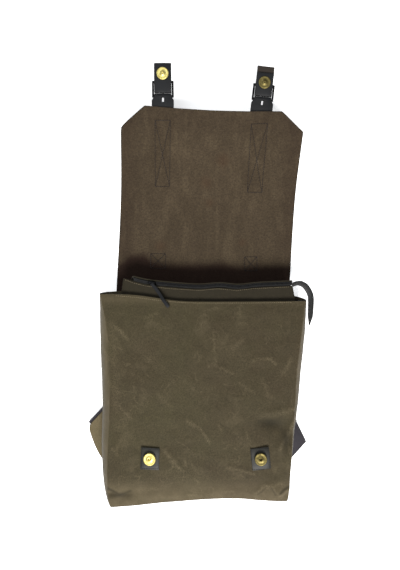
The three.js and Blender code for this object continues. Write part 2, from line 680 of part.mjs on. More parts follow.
// Past the buckle the outer layer runs under the far bar and the tab over it.
function strapPieces(strap) {
  const frame = strapFrame(strap);
  const farBar = STRAP_OUT + BUCKLE_LENGTH - BUCKLE_BAR;
  const nearEnd = STRAP_OUT - BAR_Z + 2 * CLEARANCE;
  const turnBack = nearEnd + BAR_MARGIN;
  const low = BAR_Z - BUCKLE_BAR / 2 - CLEARANCE - STRAP_THICKNESS;
  const high = BAR_Z + BUCKLE_BAR / 2 + CLEARANCE;
  const tabEnd = turnBack + TAB_LENGTH - strap.trim;
  const outer = frame.strip([
    [nearEnd, BAR_Z + OUTER_RUN.start], [turnBack, BAR_Z + OUTER_RUN.near],
    [farBar - BAR_MARGIN, low], [farBar + BAR_MARGIN, low],
    [farBar + 3 * BAR_MARGIN, BAR_Z - STRAP_THICKNESS], [turnBack + OUTER_LENGTH, BAR_Z + OUTER_RUN.end],
  ], TAB_WIDTH, STRAP_THICKNESS);
  const tab = frame.strip([
    [nearEnd, BAR_Z + CLEARANCE], [turnBack, BAR_Z + TAB_RUN.near], [farBar - BAR_MARGIN, high],
    [farBar + BAR_MARGIN, high], [farBar + 2.5 * BAR_MARGIN, BAR_Z + TAB_RUN.end], [tabEnd, BAR_Z + TAB_RUN.end],
  ], TAB_WIDTH, STRAP_THICKNESS);
  const studAt = frame.place(0, tabEnd - SNAP_INSET, BAR_Z + TAB_RUN.end + STRAP_THICKNESS + CLEARANCE);
  const prong = frame.strip([
    [nearEnd - 1.5 - 2 * CLEARANCE, low + PRONG.start], [STRAP_OUT + 3 * BAR_MARGIN, low + PRONG.bend],
    [farBar + BAR_MARGIN, low + PRONG.tip],
  ], PRONG.width, PRONG.thickness);
  return [
    piece(`flap_strap_${strap.name}`, chape(frame), 'leather'),
    piece(`buckle_frame_${strap.name}`, buckleFrame(frame), 'black_metal'),
    piece(`buckle_prong_${strap.name}`, prong, 'black_metal'),
    piece(`snap_strap_${strap.name}`, outer, 'leather'),
    piece(`snap_tab_${strap.name}`, tab, 'leather'),
    piece(
      `snap_stud_${strap.name}`,
      snap(STUD_HEIGHT, false).applyMatrix4(frame.placing.clone().setPosition(studAt)), 'brass',
    ),
  ];
}

// Snap patches and sockets on the front panel
const SOCKETS = [{ name: 'left', side: -1, turn: -2 }, { name: 'right', side: 1, turn: 6 }];
const SOCKET_CENTRE = { across: 0.01, along: -0.805 };
const PATCH_STEPS = 4;

function panelHeight(x, y) {
  return frontHeight(x, (y - frontEdge(x)) / (bottomEdge(x) - frontEdge(x)));
}

// Direction away from the front panel, measured over a short reach
function panelNormal(x, y) {
  const reach = 5;
  const slopeX = (panelHeight(x + reach, y) - panelHeight(x - reach, y)) / (2 * reach);
  const slopeY = (panelHeight(x, y + reach) - panelHeight(x, y - reach)) / (2 * reach);
  return vector(-slopeX, -slopeY, 1).normalize();
}

function socketPieces({ name, side, turn }) {
  const cx = SOCKET_CENTRE.across * PANEL_WIDTH + side * SOCKET_SPACING / 2;
  const cy = SOCKET_CENTRE.along * BODY_LENGTH;
  const patchTop = 2 * CLEARANCE + PATCH.thickness;
  const patch = grid(PATCH_STEPS, PATCH_STEPS, (up, along) => {
    const place = new THREE.Vector2((along - 0.5) * PATCH.width, (up - 0.5) * PATCH.length);
    place.rotateAround(new THREE.Vector2(), THREE.MathUtils.degToRad(turn)).add(new THREE.Vector2(cx, cy));
    return vector(place.x, place.y, panelHeight(place.x, place.y) + patchTop);
  });
  const normal = panelNormal(cx, cy);
  const socket = piece(`snap_socket_${name}`, snap(SOCKET_HEIGHT, true), 'brass');
  socket.quaternion.setFromUnitVectors(vector(0, 0, 1), normal);
  socket.position.set(cx, cy, panelHeight(cx, cy));
  socket.position.addScaledVector(normal, patchTop + 2 * CLEARANCE);
  return [piece(`snap_patch_${name}`, sheet(patch, PATCH.thickness), 'leather'), socket];
}

// Handle under the base of the flap
const HANDLE_UP = 0.134;         // its middle above the mouth, share of FLAP_REACH
const HANDLE_PAST = 12;          // how far it runs past the straps at each end

function handlePiece() {
  const y = HANDLE_UP * FLAP_REACH;
  const length = STRAP_SPACING + 2 * HANDLE_PAST;
  const handle = piece('grab_handle', box(length, HANDLE_WIDTH, HANDLE_THICKNESS), 'leather');
  handle.position.set(FLAP_LEAN * y, y, HANDLE_THICKNESS / 2);
  return handle;
}

// One row for each shoulder strap: where it leaves the top, where it folds and where it ends, as
// shares of PANEL_WIDTH and BODY_LENGTH, and the slant of its end as a share of its width.
const WEBS = [
  { name: 'left', top: [-0.156, -0.154], fold: [-0.341, -0.885], end: [-0.6285, -0.654], skew: 0 },
  { name: 'right', top: [0.178, -0.154], fold: [0.415, -0.894], end: [0.5755, -0.7405], skew: 0.4 },
];
const CREASE_WIDTH = 2.5;

function onBack([across, along]) {
  return new THREE.Vector2(across * PANEL_WIDTH, along * BODY_LENGTH);
}

function turned(direction) {
  return new THREE.Vector2(-direction.y, direction.x);
}

// Webbing folded over once: both legs are cut along the fold line and lie one on the other.
function foldedWeb({ name, top, fold, end, skew }) {
  const [start, bend, tip] = [top, fold, end].map(onBack);
  const first = bend.clone().sub(start).normalize();
  const second = tip.clone().sub(bend).normalize();
  const crease = first.clone().add(second).normalize();
  const corner = (direction, side) => {
    const edge = turned(direction).multiplyScalar(side * WEBBING_WIDTH / 2);
    const step = edge.dot(turned(crease)) / direction.dot(turned(crease));
    return bend.clone().add(edge).addScaledVector(direction, -step);
  };
  const leg = (from, direction, slant) => {
    const edge = turned(direction).multiplyScalar(WEBBING_WIDTH / 2);
    const past = direction.clone().multiplyScalar(slant * WEBBING_WIDTH / 2);
    const far = [from.clone().add(edge).add(past), from.clone().sub(edge).sub(past)];
    return [...far, corner(direction, -1), corner(direction, 1)];
  };
  const inwards = turned(crease).multiplyScalar(turned(crease).dot(first) > 0 ? -CREASE_WIDTH : CREASE_WIDTH);
  const ends = [corner(first, -1), corner(first, 1)];
  const strip = [...ends, ends[1].clone().add(inwards), ends[0].clone().add(inwards)];
  const plateOf = (points, thickness) => plate(points.map((p) => p.toArray()), thickness);
  const joined = solid(plateOf(leg(start, first, 0), WEBBING))
    .add(solid(plateOf(leg(tip, second, skew), WEBBING).translate(0, 0, WEBBING + CLEARANCE)))
    .add(solid(plateOf(strip, 2 * WEBBING + CLEARANCE)));
  return piece(`shoulder_strap_${name}`, geometryOf(joined), 'webbing');
}

// Wings join the webbing to the back's lower corners: outline corners as shares of PANEL_WIDTH
// and BODY_LENGTH, and the height each lies at.
const WINGS = [
  {
    name: 'left', height: 2 * (WEBBING + CLEARANCE),
    outline: [
      [-0.563, -0.615], [-0.6685, -0.7115], [-0.672, -0.734], [-0.65, -0.79], [-0.617, -0.86], [-0.563, -0.92],
    ],
  },
  { name: 'right', height: 0, outline: [[0.51, -0.705], [0.5555, -0.686], [0.526, -0.855], [0.51, -0.85]] },
];

function wingPiece({ name, outline: corners, height }) {
  const cut = plate(corners.map((corner) => onBack(corner).toArray()), WING_THICKNESS);
  const wing = piece(`wing_${name}`, cut, 'canvas');
  wing.position.z = height;
  return wing;
}

const backpack = new THREE.Group();
backpack.add(...bodyPieces(), ...collarPieces(), flapPiece(), handlePiece());
STRAPS.forEach((strap) => backpack.add(...strapPieces(strap)));
SOCKETS.forEach((socket) => backpack.add(...socketPieces(socket)));
WEBS.forEach((web) => backpack.add(foldedWeb(web)));
WINGS.forEach((wing) => backpack.add(wingPiece(wing)));

// The origin is the middle of the whole, on the surface it lies on.
const bounds = new THREE.Box3().setFromObject(backpack);
const centre = bounds.getCenter(vector(0, 0, 0));
backpack.position.set(-centre.x, -centre.y, -bounds.min.z);

export default backpack;
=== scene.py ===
# %% [markdown]
# # A waxed canvas backpack, lying open on its back
# The bag is a hollow canvas body with a zipped collar in its mouth, a leather flap that lies open
# above it, and two leather straps with buckles and magnetic snaps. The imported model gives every
# piece its place, so nothing here is moved: each piece gets a finer mesh and its real finish.

import math

import bmesh
import bpy
from mathutils import Matrix, Vector, noise
from mathutils.bvhtree import BVHTree


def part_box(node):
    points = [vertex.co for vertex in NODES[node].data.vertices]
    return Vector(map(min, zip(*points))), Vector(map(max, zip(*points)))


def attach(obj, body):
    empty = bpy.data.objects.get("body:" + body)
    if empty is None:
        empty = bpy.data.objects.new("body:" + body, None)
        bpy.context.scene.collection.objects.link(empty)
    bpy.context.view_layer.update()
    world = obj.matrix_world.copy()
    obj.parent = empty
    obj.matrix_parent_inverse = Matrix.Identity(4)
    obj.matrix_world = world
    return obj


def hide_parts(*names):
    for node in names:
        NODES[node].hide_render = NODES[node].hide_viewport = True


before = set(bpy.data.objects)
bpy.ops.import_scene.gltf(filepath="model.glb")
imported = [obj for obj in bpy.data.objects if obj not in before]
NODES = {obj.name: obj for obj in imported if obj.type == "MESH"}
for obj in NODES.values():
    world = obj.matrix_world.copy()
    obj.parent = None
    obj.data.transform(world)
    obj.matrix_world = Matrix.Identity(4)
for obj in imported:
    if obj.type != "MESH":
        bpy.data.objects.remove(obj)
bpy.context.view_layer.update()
MM = 0.001
UP = Vector((0, 0, 1))

# %% [markdown]
# ## Camera and light
# The photograph looks straight down from about 0.8 m, so the camera does too. The light is one large
# soft lamp low over the bag's bottom end, because the collar throws its shadow onto the flap's base.
# A wide weak lamp and a pale world fill in the rest.

# %% Camera and light
CAMERA_HEIGHT = 0.8
CAMERA_OVER = (0.0027, -0.0016)
FOCAL_PIXELS = 500
PHOTO_HEIGHT = 570
SENSOR = 36

camera_data = bpy.data.cameras.new("camera")
camera_data.sensor_fit = "VERTICAL"
camera_data.sensor_height = SENSOR
camera_data.lens = SENSOR * FOCAL_PIXELS / PHOTO_HEIGHT
camera = bpy.data.objects.new("camera", camera_data)
camera.location = (*CAMERA_OVER, CAMERA_HEIGHT)
bpy.context.scene.collection.objects.link(camera)
bpy.context.scene.camera = camera
bpy.context.scene.view_settings.view_transform = "Standard"


def area_light(name, place, target, size, power, colour):
    data = bpy.data.lights.new(name, "AREA")
    data.shape = "DISK"
    data.size = size
    data.energy = power
    data.color = colour
    lamp = bpy.data.objects.new(name, data)
    lamp.location = place
    aim = Vector(target) - Vector(place)
    lamp.rotation_euler = aim.to_track_quat("-Z", "Y").to_euler()
    bpy.context.scene.collection.objects.link(lamp)
    return lamp


area_light("key", (0.3, -2.5, 3.2), (0, 0, 0), 1.8, 300, (1, 0.985, 0.96))
area_light("fill", (-0.8, 0.9, 2.4), (0, 0, 0), 2.0, 26, (0.95, 0.98, 1))

world = bpy.data.worlds.new("studio")
world.use_nodes = True
world.node_tree.nodes["Background"].inputs["Color"].default_value = (0.93, 0.96, 1, 1)
world.node_tree.nodes["Background"].inputs["Strength"].default_value = 0.36
bpy.context.scene.world = world

# %% [markdown]
# ## Node helpers
# Every finish is made of nodes, so a few short helpers keep the recipes readable: one adds a node and
# sets its values, and one joins two sockets. Patterns that more than one finish uses are node groups.

# %% Node helpers


class Recipe:
    """Adds nodes to a tree and joins them."""

    def __init__(self, tree):
        self.tree = tree

    def feed(self, node, inputs):
        """Joins each input to a socket, or sets the input's own value."""
        for key, value in inputs.items():
            if isinstance(value, bpy.types.NodeSocket):
                self.tree.links.new(value, node.inputs[key])
            else:
                node.inputs[key].default_value = value
        return node

    def add(self, kind, inputs=None, **settings):
        node = self.tree.nodes.new(kind)
        for key, value in settings.items():
            setattr(node, key, value)
        return self.feed(node, inputs or {})

    def math(self, operation, a, b=0.0, c=0.5, clamp=False):
        node = self.add("ShaderNodeMath", {0: a, 1: b, 2: c}, operation=operation, use_clamp=clamp)
        return node.outputs[0]

    def blend(self, factor, a, b):
        return self.add("ShaderNodeMix", {0: factor, 6: a, 7: b}, data_type="RGBA").outputs[2]

    def ramp(self, value, low, high):
        node = self.add("ShaderNodeMapRange", {0: value, 1: low, 2: high}, interpolation_type="SMOOTHSTEP")
        return node.outputs[0]


def group(name, inputs, outputs):
    """An empty node group with its sockets; returns the group and a recipe for its inside."""
    tree = bpy.data.node_groups.new(name, "ShaderNodeTree")
    for socket, kind, value in inputs:
        item = tree.interface.new_socket(socket, in_out="INPUT", socket_type=kind)
        item.default_value = value
    for socket, kind in outputs:
        tree.interface.new_socket(socket, in_out="OUTPUT", socket_type=kind)
    recipe = Recipe(tree)
    return tree, recipe, recipe.add("NodeGroupInput"), recipe.add("NodeGroupOutput")


def colour(red, green, blue):
    """A colour read off as 0 to 255, in Blender's linear values."""
    shares = [value / 255 for value in (red, green, blue)]
    linear = [((share + 0.055) / 1.055) ** 2.4 if share > 0.04 else share / 12.92 for share in shares]
    return (*linear, 1)


# %% [markdown]
# ### Pattern groups
# A plain weave is two sets of threads that cross, so its height is two fine waves. Leather grain is
# small cells with creases between them, and suede is short soft fibres, which noise gives. Scuffs are
# thin curved lines, which lie where a noise crosses its middle value.

# %% Pattern groups
weave_tree, r, gin, gout = group(
    "plain_weave", [("Threads", "NodeSocketFloat", 1300.0)], [("Height", "NodeSocketFloat")])
place = r.add("ShaderNodeTexCoord").outputs["Object"]
wobble = r.add("ShaderNodeTexNoise", {"Vector": place, "Scale": 60.0, "Detail": 2.0})
bent = r.add("ShaderNodeVectorMath", {0: wobble.outputs["Color"], 1: (0.0009,) * 3}, operation="MULTIPLY")
moved = r.add("ShaderNodeVectorMath", {0: place, 1: bent.outputs[0]}, operation="ADD")
axes = r.add("ShaderNodeSeparateXYZ", {0: moved.outputs[0]})
waves = [r.math("SINE", r.math("MULTIPLY", axes.outputs[i], gin.outputs["Threads"])) for i in range(3)]
total = r.math("ADD", r.math("ADD", waves[0], waves[1]), waves[2])
r.tree.links.new(r.math("MULTIPLY_ADD", total, 0.17), gout.inputs["Height"])

grain_tree, r, gin, gout = group(
    "leather_grain", [("Cells", "NodeSocketFloat", 900.0)],
    [("Height", "NodeSocketFloat"), ("Worn", "NodeSocketFloat")])
place = r.add("ShaderNodeTexCoord").outputs["Object"]
cells = r.add("ShaderNodeTexVoronoi", {"Vector": place, "Scale": gin.outputs["Cells"]}, feature="SMOOTH_F1")
folds = r.add("ShaderNodeTexNoise", {"Vector": place, "Scale": 120.0, "Detail": 5.0})
r.tree.links.new(r.math("ADD", cells.outputs["Distance"], folds.outputs["Fac"]), gout.inputs["Height"])
patches = r.add("ShaderNodeTexNoise", {"Vector": place, "Scale": 35.0, "Detail": 6.0, "Roughness": 0.65})
r.tree.links.new(r.ramp(patches.outputs["Fac"], 0.5, 0.72), gout.inputs["Worn"])

mottle_tree, r, gin, gout = group(
    "mottle",
    [("Size", "NodeSocketFloat", 20.0), ("Low", "NodeSocketFloat", 0.35),
     ("High", "NodeSocketFloat", 0.65)],
    [("Mask", "NodeSocketFloat")])
place = r.add("ShaderNodeTexCoord").outputs["Object"]
clouds = r.add("ShaderNodeTexNoise", {"Vector": place, "Scale": gin.outputs["Size"],
                                      "Detail": 6.0, "Roughness": 0.6})
spread = r.add("ShaderNodeMapRange", {0: clouds.outputs["Fac"], 1: gin.outputs["Low"],
                                      2: gin.outputs["High"]})
r.tree.links.new(spread.outputs[0], gout.inputs["Mask"])

scuff_tree, r, gin, gout = group(
    "scuffs", [("Size", "NodeSocketFloat", 40.0), ("Width", "NodeSocketFloat", 0.02)],
    [("Mask", "NodeSocketFloat")])
place = r.add("ShaderNodeTexCoord").outputs["Object"]
bends = r.add("ShaderNodeTexNoise", {"Vector": place, "Scale": gin.outputs["Size"], "Detail": 1.0})
middle = r.math("ABSOLUTE", r.math("SUBTRACT", bends.outputs["Fac"], 0.5))
line = r.math("SUBTRACT", 1.0, r.math("DIVIDE", middle, gin.outputs["Width"]), clamp=True)
where = r.add("ShaderNodeTexNoise", {"Vector": place, "Scale": 31.0, "Detail": 1.0})
r.tree.links.new(r.math("MULTIPLY", line, r.ramp(where.outputs["Fac"], 0.5, 0.66)), gout.inputs["Mask"])
print("pattern groups", len(bpy.data.node_groups))

# %% [markdown]
# ## Finishes
# Each finish is its own material with one Principled shader. The waxed canvas is olive brown with
# greener and browner clouds, paler where the cloth bends over an edge, paler towards the bottom end
# partly from wear and partly as painted light from below, darker in its deepest creases and dents as
# painted shade, and crossed by rub marks.

# %% Finish helper


def finish(name, roughness, metallic=0.0, **sockets):
    """A new material: returns it, its recipe and its Principled shader."""
    material = bpy.data.materials.new(name)
    material.use_nodes = True
    recipe = Recipe(material.node_tree)
    shader = material.node_tree.nodes["Principled BSDF"]
    shader.inputs["Roughness"].default_value = roughness
    shader.inputs["Metallic"].default_value = metallic
    for key, value in sockets.items():
        shader.inputs[key.replace("_", " ")].default_value = value
    return material, recipe, shader


def use(recipe, tree, inputs=None):
    """A pattern group set into a finish."""
    return recipe.add("ShaderNodeGroup", inputs, node_tree=tree)


def bump(recipe, shader, height, strength, distance=0.0004):
    node = recipe.add("ShaderNodeBump", {"Height": height, "Strength": strength, "Distance": distance})
    recipe.tree.links.new(node.outputs[0], shader.inputs["Normal"])


def paint(recipe, shader, value, socket="Base Color"):
    recipe.tree.links.new(value, shader.inputs[socket])


# %% [markdown]
# ### Waxed canvas
# The rub marks are listed, each as a start, an end and a width in millimetres on the front
# panel. They are the marks that a finger finds first: scratches by the left edge, long streaks over
# the middle and a nest of bends near the lower right corner. The mesh carries them as an attribute,
# and the finish breaks it up with fine noise, because wax cracks in specks.

# %% Waxed canvas
# Columns: x and y of the start, x and y of the end, width in millimetres, then strength
RUB_MARKS = [
    (-124, -61, -113, -72, 4, 0.6), (-112, -76, -104, -82, 3, 0.5), (-118, -92, -112, -100, 5, 0.3),
    (22, -72, 24, -98, 3.4, 0.45), (16, -121, 26, -113, 3, 0.4), (24, -120, 51, -131, 2.8, 0.45),
    (61, -58, 72, -59, 3, 0.4), (50, -97, 66, -82, 5, 0.45), (54, -92, 60, -90, 3, 0.5),
    (76, -115, 92, -109, 3, 0.5), (92, -109, 109, -111, 3.4, 0.55), (109, -111, 114, -118, 3, 0.4),
    (-17, -199, 3, -212, 4, 0.55), (3, -212, 16, -229, 3.4, 0.6), (-48, -242, -35, -260, 5, 0.5),
    (-35, -260, -25, -268, 3, 0.5), (-43, -270, -30, -256, 3, 0.45), (41, -266, 61, -269, 3, 0.5),
    (61, -269, 82, -274, 3.2, 0.5), (34, -303, 51, -301, 3.4, 0.5), (119, -241, 141, -199, 4, 0.6),
    (124, -187, 141, -183, 5, 0.45), (91, -193, 124, -188, 5, 0.2), (129, -214, 133, -245, 3, 0.45),
    (-126, -240, -118, -248, 3.4, 0.45), (-121, -244, -111, -227, 3.2, 0.4),
    (-98, -197, -107, -189, 3, 0.35),
    (-121, -172, -95, -199, 2.6, 0.4), (61, -147, 84, -159, 3, 0.35), (66, -160, 76, -150, 2.6, 0.3),
    (94, -296, 122, -290, 4, 0.35), (-15, -306, -2, -307, 3.2, 0.5), (124, -132, 137, -111, 5, 0.4),
    (-78, -50, -60, -45, 3.4, 0.4), (-144, -96, -131, -111, 5, 0.35), (-139, -137, -116, -162, 5, 0.3),
    (-100, -130, -80, -142, 3, 0.3), (98, -150, 101, -164, 3, 0.3), (8, -40, 30, -37, 3, 0.3),
    (-90, -300, -60, -297, 4, 0.3), (-60, -160, -40, -180, 4, 0.25), (-10, -262, 4, -281, 3.4, 0.35),
    (85, -304, 95, -292, 3, 0.5), (95, -292, 106, -292, 3, 0.5), (106, -292, 114, -305, 3, 0.45),
    (119, -309, 132, -299, 2.6, 0.8), (-110, -196, -106, -232, 12, 0.25), (-128, -60, -120, -180, 10, 0.22),
    (-118, -210, -95, -225, 9, 0.25), (-60, -275, 10, -280, 14, 0.16), (60, -230, 100, -250, 14, 0.14),
    (10, -60, 60, -110, 22, 0.12), (-90, -90, -60, -120, 18, 0.14), (-30, -150, 20, -160, 20, 0.1),
    (-20, -255, -18, -262, 3, 0.5), (-6, -283, 2, -290, 3, 0.45), (-70, -262, -66, -270, 3, 0.4),
    (30, -205, 34, -212, 3, 0.35), (70, -215, 73, -225, 3, 0.35), (-95, -150, -92, -158, 3, 0.35),
]
CANVAS_OLIVE = colour(57, 52, 34)
CANVAS_BROWN = colour(53, 45, 31)
CANVAS_DARK = colour(30, 27, 18)
CANVAS_RUBBED = colour(104, 93, 72)


def canvas_finish(name, light=1.0):
    """Waxed canvas; light scales its colours: below one it paints shade, as on the collar, and above one it
    is paler, more worn cloth.
    """
    tones = (CANVAS_OLIVE, CANVAS_BROWN, CANVAS_DARK, CANVAS_RUBBED)
    olive, brown, dark, rubbed = ((*(value * light for value in tone[:3]), 1) for tone in tones)
    material, recipe, shader = finish(name, 0.75, Specular_IOR_Level=0.12, Sheen_Weight=0.03)
    clouds = use(recipe, mottle_tree, {"Size": 9.0, "Low": 0.35, "High": 0.66}).outputs[0]
    spots = use(recipe, mottle_tree, {"Size": 55.0, "Low": 0.42, "High": 0.75}).outputs[0]
    fine = use(recipe, mottle_tree, {"Size": 420.0, "Low": 0.3, "High": 0.7}).outputs[0]
    base = recipe.blend(clouds, olive, brown)
    base = recipe.blend(recipe.math("MULTIPLY", spots, 0.28), base, dark)
    base = recipe.blend(recipe.math("MULTIPLY", fine, 0.2), base, rubbed)
    threads = use(recipe, mottle_tree, {"Size": 760.0, "Low": 0.36, "High": 0.64}).outputs[0]
    base = recipe.blend(recipe.math("MULTIPLY", threads, 0.45), base, dark)
    weave = use(recipe, weave_tree, {"Threads": 5200.0}).outputs[0]
    threads_gap = recipe.math("SUBTRACT", 1.0, threads)
    # Paler on bent edges and hems from wear, and at the body's bottom end partly as painted light
    edges = recipe.add("ShaderNodeAttribute", attribute_name="wear_and_painted_light").outputs["Fac"]
    worn = recipe.math("MULTIPLY", edges, recipe.math("MULTIPLY_ADD", spots, 0.5))
    long_scuffs = use(recipe, scuff_tree, {"Size": 16.0, "Width": 0.008}).outputs[0]
    short_scuffs = use(recipe, scuff_tree, {"Size": 44.0, "Width": 0.02}).outputs[0]
    scuffs = recipe.math("MULTIPLY", recipe.math("MAXIMUM", long_scuffs, short_scuffs), 0.32)
    base = recipe.blend(recipe.math("MULTIPLY", scuffs, threads_gap), base, rubbed)
    haze = use(recipe, mottle_tree, {"Size": 28.0, "Low": 0.56, "High": 0.78}).outputs[0]
    worn = recipe.math("MAXIMUM", recipe.math("MULTIPLY", worn, 0.5), recipe.math("MULTIPLY", haze, 0.24))
    base = recipe.blend(worn, base, rubbed)
    broken = use(recipe, mottle_tree, {"Size": 300.0, "Low": 0.34, "High": 0.6}).outputs[0]
    rubbing = recipe.add("ShaderNodeAttribute", attribute_name="rubbed").outputs["Fac"]
    broken = recipe.math("MULTIPLY", recipe.math("MULTIPLY_ADD", broken, 0.6, 0.4), threads_gap)
    rubbing = recipe.math("MULTIPLY", rubbing, 1.1)
    base = recipe.blend(recipe.math("MULTIPLY", rubbing, broken), base, rubbed)
    # Painted shade in the body's creases and dents darkens the cloth
    painted_shade = recipe.add("ShaderNodeAttribute", attribute_name="painted_shade").outputs["Fac"]
    base = recipe.blend(recipe.math("MULTIPLY", painted_shade, 0.75), base, dark)
    paint(recipe, shader, base)
    bump(recipe, shader, weave, 0.35, 0.0003)
    return material


CANVAS = canvas_finish("waxed_canvas")
# The collar's copy is darker all over as painted shade, for the mouth's shade on it
CANVAS_COLLAR_SHADED = canvas_finish("collar_canvas_shaded", light=0.32)
CANVAS_WING = canvas_finish("wing_canvas", light=1.7)
print("rub marks", len(RUB_MARKS))

# %% [markdown]
# ### Leather, cloth and metal
# The flap's inner face is suede: matt, brown grey, with short dark fibres and a few rusty stains.
# Straps and patches are black leather with grain and grey wear. The webbing is a close dark weave,
# and the snaps are brass, one pair bright and one pair duller.

# %% Leather, cloth and metal
SUEDE, r, shader = finish("suede", 0.95, Specular_IOR_Level=0.12, Sheen_Weight=0.08)
clouds = use(r, mottle_tree, {"Size": 14.0, "Low": 0.3, "High": 0.7}).outputs[0]
fibres = use(r, mottle_tree, {"Size": 330.0, "Low": 0.42, "High": 0.66}).outputs[0]
specks = use(r, mottle_tree, {"Size": 700.0, "Low": 0.5, "High": 0.7}).outputs[0]
base = r.blend(clouds, colour(64, 54, 41), colour(53, 44, 32))
place = r.add("ShaderNodeTexCoord").outputs["Object"]
drawn = r.add("ShaderNodeVectorMath", {0: place, 1: (1.0, 0.22, 1.0)}, operation="MULTIPLY")
streaks = r.add("ShaderNodeTexNoise", {"Vector": drawn.outputs[0], "Scale": 95.0, "Detail": 5.0})
streak = streaks.outputs["Fac"]
base = r.blend(r.math("MULTIPLY", r.ramp(streak, 0.42, 0.68), 0.28), base, colour(42, 34, 25))
base = r.blend(r.math("MULTIPLY", r.ramp(streak, 0.5, 0.3), 0.2), base, colour(84, 73, 56))
base = r.blend(r.math("MULTIPLY", fibres, 0.55), base, colour(36, 29, 22))
base = r.blend(r.math("MULTIPLY", specks, 0.3), base, colour(90, 78, 62))
stain = r.add("ShaderNodeAttribute", attribute_name="stained").outputs["Fac"]
base = r.blend(r.math("MULTIPLY", stain, 0.3), base, colour(58, 38, 25))
# Painted shadow at the flap's base, deepening the collar's shadow there, plus a darker rim towards the side
# edges and far end
shadow_and_rim = r.add("ShaderNodeAttribute", attribute_name="painted_shadow_and_rim").outputs["Fac"]
base = r.blend(r.math("MULTIPLY", shadow_and_rim, 0.85), base, colour(28, 15, 11))
paint(r, shader, base)
bump(r, shader, r.math("ADD", fibres, specks), 0.5, 0.0005)


def leather_finish(name, tone, worn_tone, roughness, shine=0.3):
    material, recipe, shader = finish(name, roughness, Specular_IOR_Level=shine)
    grain = use(recipe, grain_tree, {"Cells": 1100.0})
    worn = recipe.math("MULTIPLY", grain.outputs["Worn"], 0.5)
    paint(recipe, shader, recipe.blend(worn, tone, worn_tone))
    rough = recipe.add("ShaderNodeMapRange", {0: grain.outputs["Worn"], 3: roughness, 4: roughness + 0.2})
    paint(recipe, shader, rough.outputs[0], "Roughness")
    bump(recipe, shader, grain.outputs["Height"], 0.3, 0.0003)
    return material


BLACK_LEATHER = leather_finish("black_leather", colour(15, 16, 18), colour(30, 31, 33), 0.6, 0.2)
PATCH_LEATHER = leather_finish("patch_leather", colour(26, 25, 20), colour(46, 45, 37), 0.55, 0.3)
BROWN_LEATHER = leather_finish("strap_flesh_side", colour(34, 28, 23), colour(48, 40, 33), 0.8)
LEATHER_EDGE = leather_finish("leather_edge", colour(20, 16, 14), colour(32, 26, 22), 0.6)


def cloth_finish(name, tone, pale, threads, roughness=0.85):
    material, recipe, shader = finish(name, roughness, Specular_IOR_Level=0.25, Sheen_Weight=0.1)
    cloud = use(recipe, mottle_tree, {"Size": 60.0, "Low": 0.35, "High": 0.7}).outputs[0]
    weave = use(recipe, weave_tree, {"Threads": threads}).outputs[0]
    base = recipe.blend(recipe.math("MULTIPLY", cloud, 0.6), tone, pale)
    base = recipe.blend(recipe.math("MULTIPLY", weave, 0.35, clamp=True), base, pale)
    paint(recipe, shader, base)
    bump(recipe, shader, weave, 0.6, 0.0005)
    return material


WEBBING = cloth_finish("webbing", colour(36, 34, 38), colour(50, 47, 52), 3400.0)
LINING = cloth_finish("lining", colour(12, 11, 12), colour(22, 21, 22), 7000.0)
ZIP_TAPE = cloth_finish("zip_tape", colour(12, 12, 12), colour(22, 22, 22), 6000.0)
THREAD_DARK = cloth_finish("dark_thread", colour(22, 15, 10), colour(34, 24, 17), 9000.0)
THREAD_PALE = cloth_finish("pale_thread", colour(112, 100, 78), colour(136, 124, 98), 9000.0)


def metal_finish(name, bright, dull, roughness):
    material, recipe, shader = finish(name, roughness, 1.0)
    tarnish = use(recipe, mottle_tree, {"Size": 260.0, "Low": 0.42, "High": 0.7}).outputs[0]
    paint(recipe, shader, recipe.blend(tarnish, bright, dull))
    rough = recipe.add("ShaderNodeMapRange", {0: tarnish, 3: roughness, 4: roughness + 0.25})
    paint(recipe, shader, rough.outputs[0], "Roughness")
    return material


BRASS = metal_finish("bright_brass", colour(200, 188, 118), colour(170, 152, 84), 0.4)
BRASS_DULL = metal_finish("dull_brass", colour(108, 98, 60), colour(74, 66, 40), 0.45)
BLACK_METAL = metal_finish("black_metal", colour(30, 30, 31), colour(18, 18, 19), 0.5)
print("materials", len(bpy.data.materials))

# %% [markdown]
# ## Making a piece from its node
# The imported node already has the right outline, so a piece starts as a copy of it: its doubles are
# merged, its triangles joined to quads, and a subdivision surface rounds it. The finished mesh is
# kept and the modifier is gone, so the folds can then be pushed into real vertices.

# %% Piece helpers
CORNER_BEND = math.radians(20)


def copy_of(node, crease_angle=40):
    """A bmesh of a node's solid, merged, with quads, whose hard edges are creased."""
    bm = bmesh.new()
    bm.from_mesh(NODES[node].data)
    bmesh.ops.remove_doubles(bm, verts=bm.verts, dist=1e-5)
    bmesh.ops.join_triangles(bm, faces=bm.faces, angle_face_threshold=math.radians(25),
                             angle_shape_threshold=math.radians(60))
    creases = bm.edges.layers.float.new("crease_edge")
    corners = bm.verts.layers.float.new("crease_vert")
    for edge in bm.edges:
        if edge.is_manifold and edge.calc_face_angle(0) > math.radians(crease_angle):
            edge[creases] = 0.8
    for vert in bm.verts:
        sharp = [edge for edge in vert.link_edges if edge[creases] > 0]
        if len(sharp) > 1:
            ways = [(edge.other_vert(vert).co - vert.co).normalized() for edge in sharp]
            straight = min(a.dot(b) for a in ways for b in ways)
            if straight > -math.cos(CORNER_BEND):
                vert[corners] = 0.9
    return bm


